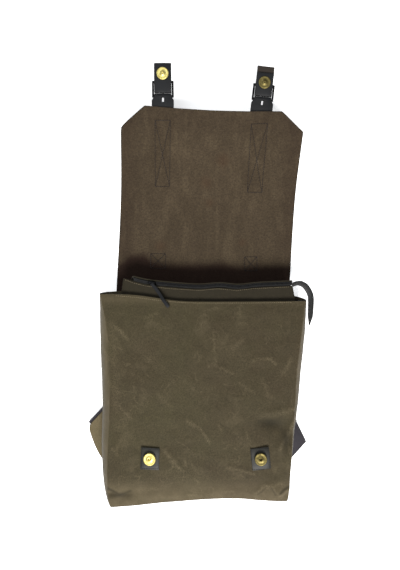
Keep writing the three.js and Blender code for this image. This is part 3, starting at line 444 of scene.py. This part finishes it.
def piece(name, bm, material, replaced=(), bend=None):
    mesh = bpy.data.meshes.new(name)
    bm.to_mesh(mesh)
    bm.free()
    for each in material if isinstance(material, (list, tuple)) else [material]:
        mesh.materials.append(each)
    mesh.shade_smooth()
    if bend:
        mesh.set_sharp_from_angle(angle=math.radians(bend))
    obj = bpy.data.objects.new(name, mesh)
    bpy.context.scene.collection.objects.link(obj)
    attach(obj, "root")
    if replaced:
        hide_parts(*replaced)
    return obj


def subdivided(obj, levels):
    """The object's mesh with a subdivision surface worked into it."""
    modifier = obj.modifiers.new("rounding", "SUBSURF")
    modifier.levels = levels
    modifier.render_levels = levels
    return baked(obj)


def baked(obj):
    bpy.context.view_layer.update()
    evaluated = obj.evaluated_get(bpy.context.evaluated_depsgraph_get())
    mesh = bpy.data.meshes.new_from_object(evaluated)
    obj.modifiers.clear()
    obj.data = mesh
    return obj


def surface(obj):
    """A tree of the object's faces, to find the height of its top at any place."""
    bm = bmesh.new()
    bm.from_mesh(obj.data)
    tree = BVHTree.FromBMesh(bm)
    bm.free()
    return tree


def top_of(tree, x, y, start=0.2):
    hit, normal, _, _ = tree.ray_cast(Vector((x, y, start)), -UP)
    return (hit, normal) if hit else (None, None)


def keep(obj, name, values):
    """Stores one number a vertex under a name that a finish reads."""
    obj.data.attributes.new(name, "FLOAT", "POINT").data.foreach_set("value", values)


def smoothstep(value, low, high):
    t = min(max((value - low) / (high - low), 0), 1)
    return t * t * (3 - 2 * t)


# %% [markdown]
# ## Body
# Waxed canvas doesn't drape: it cracks into long shallow folds and keeps them. The folds are ridges
# along lines, listed, with noise at three sizes between them. They push the outer and the
# inner wall by the same amount, up and down on the front and sideways on the gussets, so that the
# wall keeps its thickness.

# %% Body
# Columns: x and y of a fold's start, x and y of its end, width, height, in millimetres; a hollow is negative
FOLDS = [
    (92, -201, 126, -207, 9, -3.6), (88, -192, 141, -183, 7, 2.2), (119, -241, 142, -196, 5, 2.6),
    (128, -238, 146, -205, 6, -2.4), (114, -232, 128, -206, 6, -1.6), (126, -290, 132, -240, 5, 1.8),
    (118, -290, 122, -245, 7, -1.4), (84, -304, 95, -292, 5, 1.8), (95, -292, 106, -292, 5, 1.8),
    (106, -292, 114, -305, 5, 1.8), (119, -309, 133, -298, 3.4, 2.6), (126, -312, 134, -300, 4, -3),
    (-131, -300, -115, -310, 7, -3.6), (-115, -310, -98, -304, 7, -3), (-132, -318, -110, -300, 6, 2),
    (-135, -40, -118, -150, 12, -0.9), (-125, -18, -122, -130, 7, 0.7), (148, -22, 140, -150, 7, 0.7),
    (-124, -61, -113, -72, 5, 1.5), (22, -66, 25, -112, 6, 1.2), (16, -121, 52, -132, 8, 1.1),
    (76, -116, 112, -110, 7, 1.3), (-17, -199, 16, -229, 6, 1.5), (-48, -242, -25, -268, 6, 1.3),
    (41, -266, 82, -275, 7, 1.4), (-110, -160, -60, -130, 22, 1.8), (-40, -90, 30, -60, 26, -1.8),
    (60, -90, 130, -60, 24, -1.8), (-100, -210, -30, -250, 26, -1.8), (20, -180, 90, -150, 26, 1.8),
    (-60, -40, 40, -42, 14, -1.0), (-136, -180, -120, -270, 9, -2), (-90, -296, 90, -290, 9, -1.2),
    (-110, -310, 100, -303, 5, 1.0), (60, -34, 130, -48, 12, 1.2), (-112, -190, -106, -236, 8, 1.2),
]


# Darker, greener patches of painted shade in the dents: middle and reach in millimetres
DENT_SHADE = [(106, -203, 20, 9), (-115, -308, 15, 4), (128, -226, 7, 16)]
# Painted shade along the deepest creases: start, end and width in millimetres, then strength
CREASE_SHADE = [
    (-130, -299, -114, -308, 4, 0.9), (-114, -308, -98, -302, 3, 0.8), (120, -306, 132, -296, 3.4, 0.9),
    (88, -200, 122, -207, 5, 0.7), (118, -206, 134, -237, 3, 0.6), (86, -306, 97, -296, 2, 0.6),
    (106, -296, 113, -307, 2, 0.7), (140, -190, 148, -178, 3, 0.6),
]


def fold_height(x, y):
    total = 0.0
    for x0, y0, x1, y1, width, height in FOLDS:
        dx, dy = (x1 - x0) * MM, (y1 - y0) * MM
        px, py = x - x0 * MM, y - y0 * MM
        along = (px * dx + py * dy) / (dx * dx + dy * dy)
        held = min(max(along, 0), 1)
        away = math.hypot(px - held * dx, py - held * dy) / (width * MM)
        if away < 3:
            ends = 0.35 + 0.65 * math.sin(math.pi * min(max(along, 0.0), 1.0))
            total += height * MM * ends * math.exp(-away * away)
    return total


def crumple(point, seed):
    """Noise at three sizes, in metres of height."""
    shift = Vector((seed, 2.7 * seed, 0))
    broad = noise.noise(point * 14 + shift) * 0.0014
    middle = (0.5 - abs(noise.noise(point * 38 + shift))) * 0.0011
    small = (0.5 - abs(noise.noise(point * 95 + shift))) * 0.0005
    return broad + middle + small


def mark_strength(co, marks):
    """How strong the nearest mark of a table is at a place; the marks' edges are ragged."""
    x = co.x / MM + noise.noise(co * 60) * 2
    y = co.y / MM + noise.noise(co * 60 + UP * 3) * 2
    best = 0.0
    for x0, y0, x1, y1, width, strength in marks:
        dx, dy = x1 - x0, y1 - y0
        held = min(max(((x - x0) * dx + (y - y0) * dy) / (dx * dx + dy * dy), 0), 1)
        away = math.hypot(x - x0 - held * dx, y - y0 - held * dy) / width
        best = max(best, strength * smoothstep(1 - away, 0, 1))
    return best


body_low, body_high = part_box("body_shell")
body_middle = (body_low + body_high) / 2


def crease_body(co):
    front = smoothstep(co.z, 0.028, 0.05)
    off_floor = smoothstep(co.z, 0.006, 0.018)
    side = smoothstep(abs(co.x - body_middle.x), 0.118, 0.146) * (1 - 0.6 * front) * off_floor
    end = smoothstep(-co.y, 0.296, 0.312) * (1 - front) * off_floor
    mouth = smoothstep(-co.y, 0.012, 0.05)
    flat = Vector((co.x, co.y, 0))
    rise = fold_height(co.x, co.y) * mouth + crumple(flat, 1.3) * (0.35 + 0.65 * mouth)
    sideways = crumple(Vector((0, co.y, co.z * 1.5)), 5.1) * 0.9
    return Vector((math.copysign(1, co.x - body_middle.x) * side * sideways,
                   -end * crumple(Vector((co.x, 0, co.z)), 9.4) * 2, front * rise))


body = piece("canvas_body", copy_of("body_shell"), CANVAS, ["body_shell"])
subdivided(body, 3)
for vertex in body.data.vertices:
    vertex.co += crease_body(vertex.co)
body.data.update()
wear_and_light, painted_shade, rubbed = [], [], []
for vertex in body.data.vertices:
    co, slope = vertex.co, abs(vertex.normal.z)
    tilt = smoothstep(slope, 0.2, 0.55) * (1 - smoothstep(slope, 0.75, 0.97))
    hem = 0.5 * (1 - smoothstep(abs(-co.y - 0.022), 0.0, 0.012)) if co.z > 0.03 else 0.0
    # Paler towards the bottom end: partly wear, partly painted light from below
    low = smoothstep(-co.y, 0.278, 0.306)
    wear_and_light.append(min(1.0, tilt + hem + low))
    # Painted shade in the dents, and on the front also along the deepest creases
    dent_shading = max(math.exp(-((co.x - x * MM) / (across * MM)) ** 2 - ((co.y - y * MM) / (along * MM)) ** 2)
               for x, y, across, along in DENT_SHADE)
    front = vertex.normal.z > 0.4
    painted_shade.append(max(dent_shading, mark_strength(co, CREASE_SHADE)) if front else dent_shading)
    rubbed.append(mark_strength(co, RUB_MARKS) if front else 0.0)
keep(body, "wear_and_painted_light", wear_and_light)
keep(body, "painted_shade", painted_shade)
keep(body, "rubbed", rubbed)
body_top = surface(body)
print("body faces", len(body.data.polygons))

lining = piece("black_lining", copy_of("lining"), LINING, ["lining"])
subdivided(lining, 1)
for vertex in lining.data.vertices:
    vertex.co += crease_body(vertex.co)

# %% [markdown]
# ## Collar and wings
# The collar is a strip of the same canvas on each side of the zip. It waves a little between the
# stitches, so both strips are ruffled a little with noise.

# %% Collar and wings


def canvas_trim(name, node, cloth, ripple, worn, levels=2):
    obj = piece(name, copy_of(node), cloth, [node])
    subdivided(obj, levels)
    for vertex in obj.data.vertices:
        vertex.co.z += ripple * crumple(Vector((vertex.co.x, vertex.co.y, 0)) * 1.4, 3.3)
    obj.data.update()
    keep(obj, "wear_and_painted_light", [worn] * len(obj.data.vertices))
    return obj


# The collar strips take the darker copy of the canvas, which is painted shade
collar_front = canvas_trim("collar_front", "front_extension", CANVAS_COLLAR_SHADED, 0.5, 0.3)
collar_back = canvas_trim("collar_back", "back_extension", CANVAS_COLLAR_SHADED, 0.2, 0.3)
wing_left = canvas_trim("wing_left_cloth", "wing_left", CANVAS_WING, 0.0, 0.5)
wing_right = canvas_trim("wing_right_cloth", "wing_right", CANVAS_WING, 0.0, 0.5)

# %% [markdown]
# ## Flap
# The flap is one piece of leather. Its upper face is suede, its lower face and its cut edge are
# black. A face's own direction tells which it is, before the sheet is rounded.

# %% Flap
# Upper edge of the painted shadow at the base, which deepens the collar's cast shadow there: across and up,
# in millimetres
FLAP_SHADOW_EDGE = [
    (-130, 32), (-122, 34), (-107, 47), (-86, 48), (-75, 38), (-50, 32),
    (0, 30), (35, 33), (62, 28), (150, 30),
]

bm = copy_of("flap", 50)
bm.normal_update()
for face in bm.faces:
    if abs(face.normal.z) < 0.55:
        face.material_index = 1
    elif face.normal.z < 0:
        face.material_index = 2
flap = piece("leather_flap", bm, [SUEDE, LEATHER_EDGE, BLACK_LEATHER], ["flap"])
subdivided(flap, 2)
for vertex in flap.data.vertices:
    place = Vector((vertex.co.x, vertex.co.y, 0))
    loose = smoothstep(vertex.co.y, 0.05, 0.2)
    vertex.co.z += loose * (noise.noise(place * 9) * 0.0022 + noise.noise(place * 24 + UP) * 0.0006)
flap.data.update()


def shadow_edge(x):
    """Height of the painted shadow at the flap's base, in millimetres, through the rows of a table."""
    for (x0, y0), (x1, y1) in zip(FLAP_SHADOW_EDGE, FLAP_SHADOW_EDGE[1:]):
        if x < x1:
            return y0 + (y1 - y0) * smoothstep(x, x0, x1)
    return FLAP_SHADOW_EDGE[-1][1]


# Faint rusty stains: middle and reach in millimetres
STAINS = [(12, 158, 14), (18, 128, 10), (38, 190, 16), (-60, 60, 14), (70, 66, 10)]
painted_shadow_and_rim, stained = [], []
for vertex in flap.data.vertices:
    x, y = vertex.co.x / MM, vertex.co.y / MM
    # Painted shadow below the edge line, softened with noise; the rim is darker towards the side edges and
    # the far end
    depth = shadow_edge(x) + noise.noise(vertex.co * 45) * 3 - y
    rim = 0.28 * smoothstep(abs(x - 15), 98, 132) + 0.18 * smoothstep(y, 215, 250)
    painted_shadow_and_rim.append(max(smoothstep(depth, -8, 9), rim))
    rust = [1 - math.hypot(x - stain_x, y - stain_y) / reach for stain_x, stain_y, reach in STAINS]
    stained.append(smoothstep(max(rust), 0, 1))
keep(flap, "painted_shadow_and_rim", painted_shadow_and_rim)
keep(flap, "stained", stained)
flap_top = surface(flap)
print("flap faces", len(flap.data.polygons))

# %% [markdown]
# ## Straps, patches and webbing
# These are cut from sheet, so their long edges are only slightly rounded: one small bevel on the
# solid is enough, and its sharp angles keep their flat faces flat.

# %% Straps, patches and webbing


def cut_piece(name, node, material, radius=0.4, levels=1):
    """A strap or plate with softened edges."""
    bm = copy_of(node, 30)
    sharp = [e for e in bm.edges if e.is_manifold and e.calc_face_angle(0) > math.radians(50)]
    bmesh.ops.bevel(bm, geom=sharp, offset=radius * MM, segments=2, profile=0.5, affect="EDGES",
                    material=-1)
    obj = piece(name, bm, material, [node], bend=None if levels else 32)
    return subdivided(obj, levels) if levels else obj


LEATHER_NODES = [
    "flap_strap_left", "flap_strap_right", "snap_tab_left", "snap_tab_right",
    "snap_patch_left", "snap_patch_right", "grab_handle", "zip_pull",
]
leather = {}
for node in LEATHER_NODES:
    cover = PATCH_LEATHER if "patch" in node else BLACK_LEATHER
    leather[node] = cut_piece(f"{node}_leather", node, cover, levels=0)
for node in ("snap_strap_left", "snap_strap_right"):
    leather[node] = cut_piece(f"{node}_leather", node, BROWN_LEATHER, levels=0)
for side, length in (("left", 0.356), ("right", 0.319)):
    band = cut_piece(f"webbing_{side}", f"shoulder_strap_{side}", WEBBING, 0.3, 0)
for node in ("zip_tape_front", "zip_tape_back", "zip_tail"):
    cut_piece(f"{node}_cloth", node, ZIP_TAPE, 0.2, 0)

# %% [markdown]
# ## Snaps
# A magnetic snap is turned on a lathe, so each one is a profile spun about its own axis. The tab
# carries the half with a nub, the patch the half with a hole. The node's box gives the place, and
# the node's flattest face gives the way it faces.

# %% Snaps
SNAP_RADIUS = 9.0


def snap_axis(node):
    """Middle of the node's underside and its axis, from its widest faces."""
    mesh = NODES[node].data
    low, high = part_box(node)
    total = Vector((0, 0, 0))
    for face in mesh.polygons:
        if face.normal.z > 0.8:
            total += face.normal * face.area
    axis = total.normalized()
    middle = (low + high) / 2
    heights = [(v.co - middle).dot(axis) for v in mesh.vertices]
    return middle + axis * min(heights), axis, max(heights) - min(heights)


def turned_snap(name, node, material, hollow):
    foot, axis, height = snap_axis(node)
    top = height / MM
    if hollow:
        profile = [
            (0, 0), (8.7, 0), (SNAP_RADIUS, 0.4), (SNAP_RADIUS, top - 0.9), (8.6, top - 0.3),
            (7.9, top - 0.05), (7.2, top - 0.25), (3.6, top - 0.45), (3.0, top), (2.3, top),
            (2.0, top - 0.5), (1.9, 0.9), (0, 0.9),
        ]
    else:
        profile = [
            (0, 0), (8.7, 0), (SNAP_RADIUS, 0.4), (SNAP_RADIUS, top - 1.5), (8.6, top - 1.0),
            (7.8, top - 0.8), (7.0, top - 1.05), (3.6, top - 1.1), (3.1, top - 0.6), (2.4, top - 0.3),
            (1.7, top - 0.05), (0.9, top - 0.1), (0.8, top - 0.7), (0, top - 0.7),
        ]
    bm = bmesh.new()
    verts = [bm.verts.new((x * MM, 0, z * MM)) for x, z in profile]
    edges = [bm.edges.new(pair) for pair in zip(verts, verts[1:])]
    bmesh.ops.spin(bm, geom=verts + edges, cent=(0, 0, 0), axis=(0, 0, 1), dvec=(0, 0, 0),
                   angle=2 * math.pi, steps=48, use_merge=True, use_duplicate=False)
    bmesh.ops.remove_doubles(bm, verts=bm.verts, dist=1e-6)
    bmesh.ops.recalc_face_normals(bm, faces=bm.faces)
    turn = UP.rotation_difference(axis).to_matrix().to_4x4()
    bmesh.ops.transform(bm, matrix=Matrix.Translation(foot) @ turn, verts=bm.verts)
    return piece(name, bm, material, [node])


for side, material in (("left", BRASS), ("right", BRASS_DULL)):
    turned_snap(f"stud_{side}", f"snap_stud_{side}", material, False)
    turned_snap(f"socket_{side}", f"snap_socket_{side}", material, True)
    cut_piece(f"buckle_{side}", f"buckle_frame_{side}", BLACK_METAL, 0.9, 0)
    cut_piece(f"prong_{side}", f"buckle_prong_{side}", BLACK_METAL, 0.6, 0)

# %% [markdown]
# ## Zip
# The closed stretch is a row of small teeth between two edges of tape. One tooth is a bevelled block
# of a few faces, and the loop sets a copy of it every two millimetres along the chain.

# %% Zip
TOOTH_PITCH = 2.0 * MM
chain_low, chain_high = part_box("zip_chain")
chain = cut_piece("zip_chain_tape", "zip_chain", ZIP_TAPE, 0.2, 0)
chain_tree = surface(chain)
bm = bmesh.new()
x = chain_low.x + TOOTH_PITCH
while x < chain_high.x - TOOTH_PITCH:
    hits = [y for y in (chain_low.y + k * 0.0005 for k in range(40)) if top_of(chain_tree, x, y)[0]]
    if hits:
        hit, _ = top_of(chain_tree, x, (hits[0] + hits[-1]) / 2)
        size = Matrix.Diagonal((1.3 * MM, 3.2 * MM, 0.9 * MM, 1))
        bmesh.ops.create_cube(bm, size=1, matrix=Matrix.Translation(hit + UP * 0.3 * MM) @ size)
    x += TOOTH_PITCH
bmesh.ops.bevel(bm, geom=bm.edges[:], offset=0.25 * MM, segments=1, profile=0.5, affect="EDGES",
                material=-1)
piece("zip_teeth", bm, BLACK_METAL)
cut_piece("zip_slider_body", "zip_slider", BLACK_METAL, 0.8, 1)

# %% [markdown]
# ## Stitches
# A seam is a row of short threads that sink into the cloth at both ends. Each thread is a
# short thin rod, laid on the surface below it with a ray cast down, so it follows every fold.

# %% Stitches


def stitch_lines(name, lines, tree, material, pitch=3.4, length=2.3, radius=0.32):
    """Lines are lists of corners in millimetres; one small thread lies every pitch along them."""
    bm = bmesh.new()
    count = 0
    for line in lines:
        for (x0, y0), (x1, y1) in zip(line, line[1:]):
            a, b = Vector((x0, y0, 0)) * MM, Vector((x1, y1, 0)) * MM
            steps = max(1, int((b - a).length / (pitch * MM)))
            for k in range(steps):
                middle = a.lerp(b, (k + 0.5) / steps)
                hit, normal = top_of(tree, middle.x, middle.y)
                if hit is None or normal.z < 0.3:
                    continue
                ahead = (b - a).normalized()
                ahead = (ahead - normal * ahead.dot(normal)).normalized()
                across = normal.cross(ahead)
                turn = Matrix((across, normal, ahead)).transposed().to_4x4()
                bmesh.ops.create_cone(
                    bm, cap_ends=True, segments=6, radius1=radius * MM * 0.75, radius2=radius * MM * 0.75,
                    depth=length * MM, matrix=Matrix.Translation(hit + normal * radius * MM * 0.45) @ turn)
                count += 1
    print(name, "threads", count)
    return piece(name, bm, material)


def crossed_box(corners):
    """Four sides and two diagonals of a sewn box."""
    a, b, c, d = corners
    return [[a, b, c, d, a], [a, c], [b, d]]


FLAP_BOXES = [
    ((-64.5, 245), (-41.5, 245), (-45, 152.5), (-67.5, 152.5)),
    ((79.5, 239.5), (104, 240), (100, 144), (77, 144)),
]
HANDLE_BOXES = [
    ((-75.5, 48), (-52, 48), (-52, 25), (-75.5, 25)), ((73.5, 43), (93, 43), (93, 21), (73.5, 21)),
]
flap_lines = [line for box_corners in FLAP_BOXES + HANDLE_BOXES for line in crossed_box(box_corners)]
stitch_lines("flap_stitches", flap_lines, flap_top, THREAD_DARK, 3.2, 2.5, 0.7)

HEM = [
    (-124, -17.5), (-94, -20), (-64, -24), (-30, -27.5), (0, -28.5), (40, -28.5), (85, -28.5), (140, -27.5),
]
stitch_lines("mouth_stitches", [HEM], body_top, THREAD_PALE, 3.0, 2.1, 0.35)

collar_tree = surface(collar_front)
COLLAR_LINE = [
    (-111, 6.5), (-98, 1.5), (-78, -3.5), (-42, -7), (2, -9.8),
    (30, -7.2), (59, -10), (85, -7), (138, -4.5),
]
stitch_lines("collar_stitches", [COLLAR_LINE], collar_tree, THREAD_PALE, 3.0, 2.1, 0.3)

PATCH_SEAM = 2
for side in ("left", "right"):
    low, high = (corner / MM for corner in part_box(f"snap_patch_{side}"))
    left, right = low.x + PATCH_SEAM, high.x - PATCH_SEAM
    bottom, top = low.y + PATCH_SEAM, high.y - PATCH_SEAM
    inner = [(left, bottom), (right, bottom), (right, top), (left, top)]
    stitch_lines(f"patch_stitches_{side}", [inner + inner[:1]], surface(leather[f"snap_patch_{side}"]),
                 BLACK_LEATHER, 2.6, 1.9, 0.3)

# %% [markdown]
# ## Floor
# The floor is a plain pale sheet under everything. It gives off a little light of its own, so that
# its shadows stay nearly white, as they are in the photograph.

# %% Floor
bm = bmesh.new()
bmesh.ops.create_grid(bm, x_segments=1, y_segments=1, size=3)
floor_mesh = bpy.data.meshes.new("floor")
bm.to_mesh(floor_mesh)
bm.free()
floor = bpy.data.objects.new("floor", floor_mesh)
floor_material, r, shader = finish("floor", 0.9)
shader.inputs["Base Color"].default_value = (1, 1, 1, 1)
shader.inputs["Emission Color"].default_value = (1, 1, 1, 1)
shader.inputs["Emission Strength"].default_value = 0.5
floor_mesh.materials.append(floor_material)
bpy.context.scene.collection.objects.link(floor)
